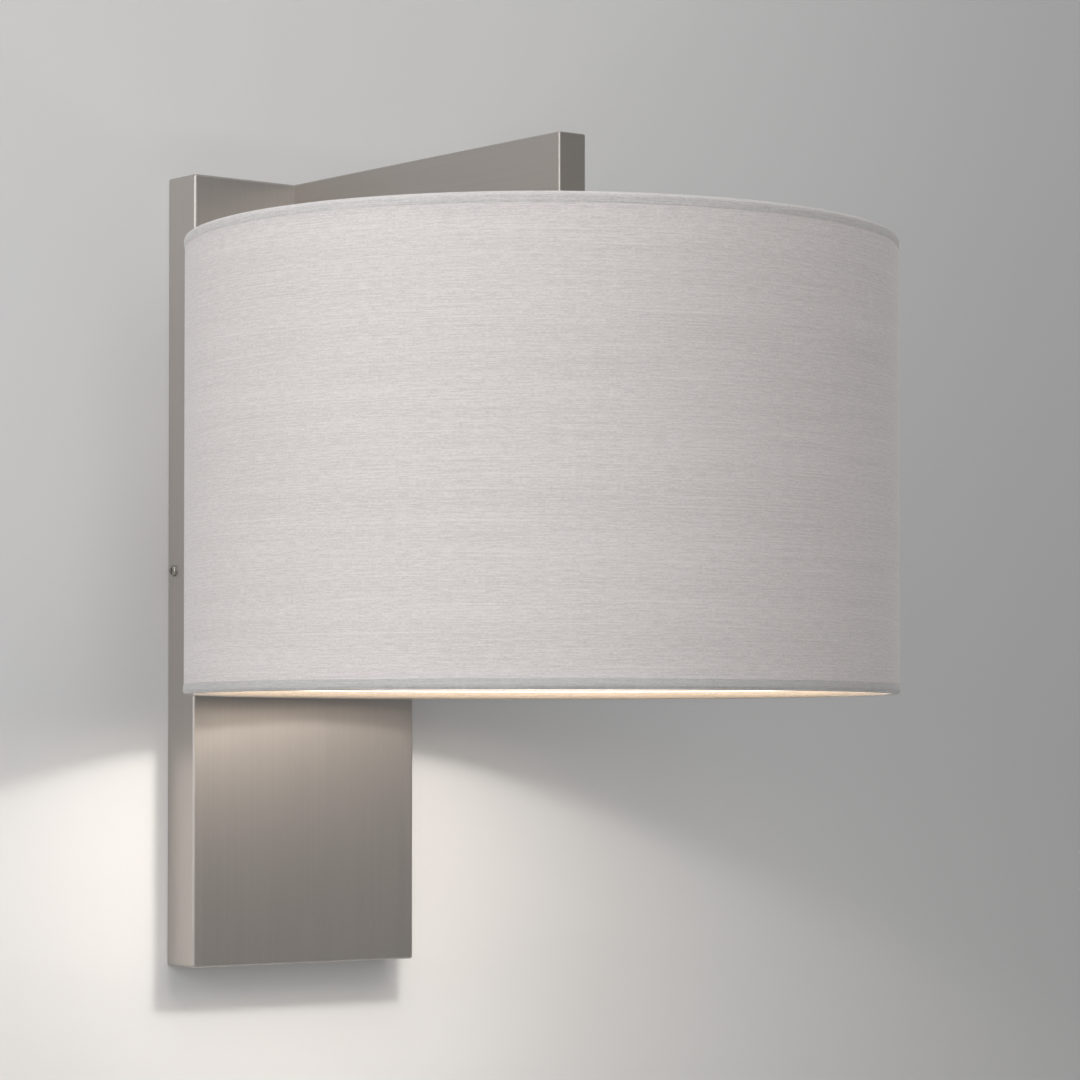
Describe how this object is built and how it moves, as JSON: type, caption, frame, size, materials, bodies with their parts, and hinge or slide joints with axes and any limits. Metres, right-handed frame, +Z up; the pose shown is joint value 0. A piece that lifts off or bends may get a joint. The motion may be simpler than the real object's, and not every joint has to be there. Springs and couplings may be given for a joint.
{
  "type": "wall light with fabric drum shade",
  "caption": "Wall light: a flat box arm runs straight out from the top of a tall shallow back plate and carries a fabric drum shade below it.",
  "frame": {"origin": "on the wall plane, at the middle of the four wall fixing slots and of the back plate", "axes": "+Z up, +Y into the wall, -Y out into the room, +X to the right as seen from the room"},
  "size_m": [0.32, 0.365, 0.378],
  "materials": {
    "satin_nickel": "satin nickel plate, brushed grain",
    "nickel_screws": "nickel-plated pan head",
    "zinc_steel": "bright zinc-plated steel sheet",
    "plain_steel": "machined mild steel",
    "black_steel": "black oxide",
    "grey_nylon": "moulded, matt",
    "natural_nylon": "natural nylon, slightly translucent look",
    "brass": "turned brass",
    "tinned_copper": "tinned",
    "brown_sheath": "smooth sheath",
    "blue_sheath": "smooth sheath",
    "green_sheath": "green with a yellow stripe",
    "white_holder": "moulded, low gloss",
    "insert_ceramic": "unglazed",
    "bright_shell": "pressed bright sheet",
    "white_wire": "white powder coat",
    "shade_cloth": "fine plain weave with slubs",
    "shade_liner": "white styrene sheet",
    "hem_cloth": "rolled edge of the same cloth",
    "black_glass": "moulded insulator",
    "solder": "tinned contact",
    "lamp_plastic": "white, low gloss",
    "opal_globe": "opal diffuser, lit",
    "led_board": "white-coated board"
  },
  "bodies": {
    "fixture": {"back_plate": "satin_nickel", "arm": "satin_nickel", "stem_sleeve": "satin_nickel", "cover_screws": "nickel_screws", "wall_bracket": "zinc_steel", "arm_mounting_plate": "zinc_steel", "arm_root_block": "plain_steel", "stem_thread_block": "plain_steel", "arm_screws": "black_steel", "arm_washers": "zinc_steel", "stem": "zinc_steel", "stem_nut": "zinc_steel", "cable_bush": "grey_nylon", "wire_bush": "grey_nylon", "terminal_block": "natural_nylon", "terminal_tunnels": "brass", "terminal_screws": "zinc_steel", "terminal_block_screws": "zinc_steel", "earth_studs": "brass", "earth_nuts": "brass", "earth_tags": "tinned_copper", "live_lead": "brown_sheath", "neutral_lead": "blue_sheath", "earth_lead": "green_sheath", "earth_link": "green_sheath", "holder_cap": "white_holder", "holder_body": "white_holder", "holder_insert": "insert_ceramic", "holder_screw_shell": "bright_shell", "holder_centre_contact": "brass", "holder_terminals": "brass", "holder_terminal_screws": "zinc_steel"},
    "shade": {"shade_fitter": "white_wire", "shade_spokes": "white_wire", "shade_top_hoop": "white_wire", "shade_bottom_hoop": "white_wire", "shade_fabric": "shade_cloth", "shade_lining": "shade_liner", "shade_seam": "shade_liner", "shade_hem_top": "hem_cloth", "shade_hem_bottom": "hem_cloth"},
    "shade_ring": {"shade_ring": "white_holder"},
    "lamp": {"lamp_cap_shell": "bright_shell", "lamp_cap_insulator": "black_glass", "lamp_centre_contact": "solder", "lamp_collar": "lamp_plastic", "lamp_globe": "opal_globe", "lamp_led_board": "led_board"}
  },
  "joints": [
    {"name": "shade_turn", "type": "hinge", "parent": "fixture", "child": "shade", "pos_m": [0, -0.205, 0.095], "axis": [0, 0, 1], "continuous": true},
    {"name": "shade_ring_turn", "type": "hinge", "parent": "fixture", "child": "shade_ring", "pos_m": [0, -0.205, 0.09], "axis": [0, 0, 1], "continuous": true},
    {"name": "lamp_turn", "type": "hinge", "parent": "fixture", "child": "lamp", "pos_m": [0, -0.205, 0.08], "axis": [0, 0, 1], "continuous": true}
  ]
}
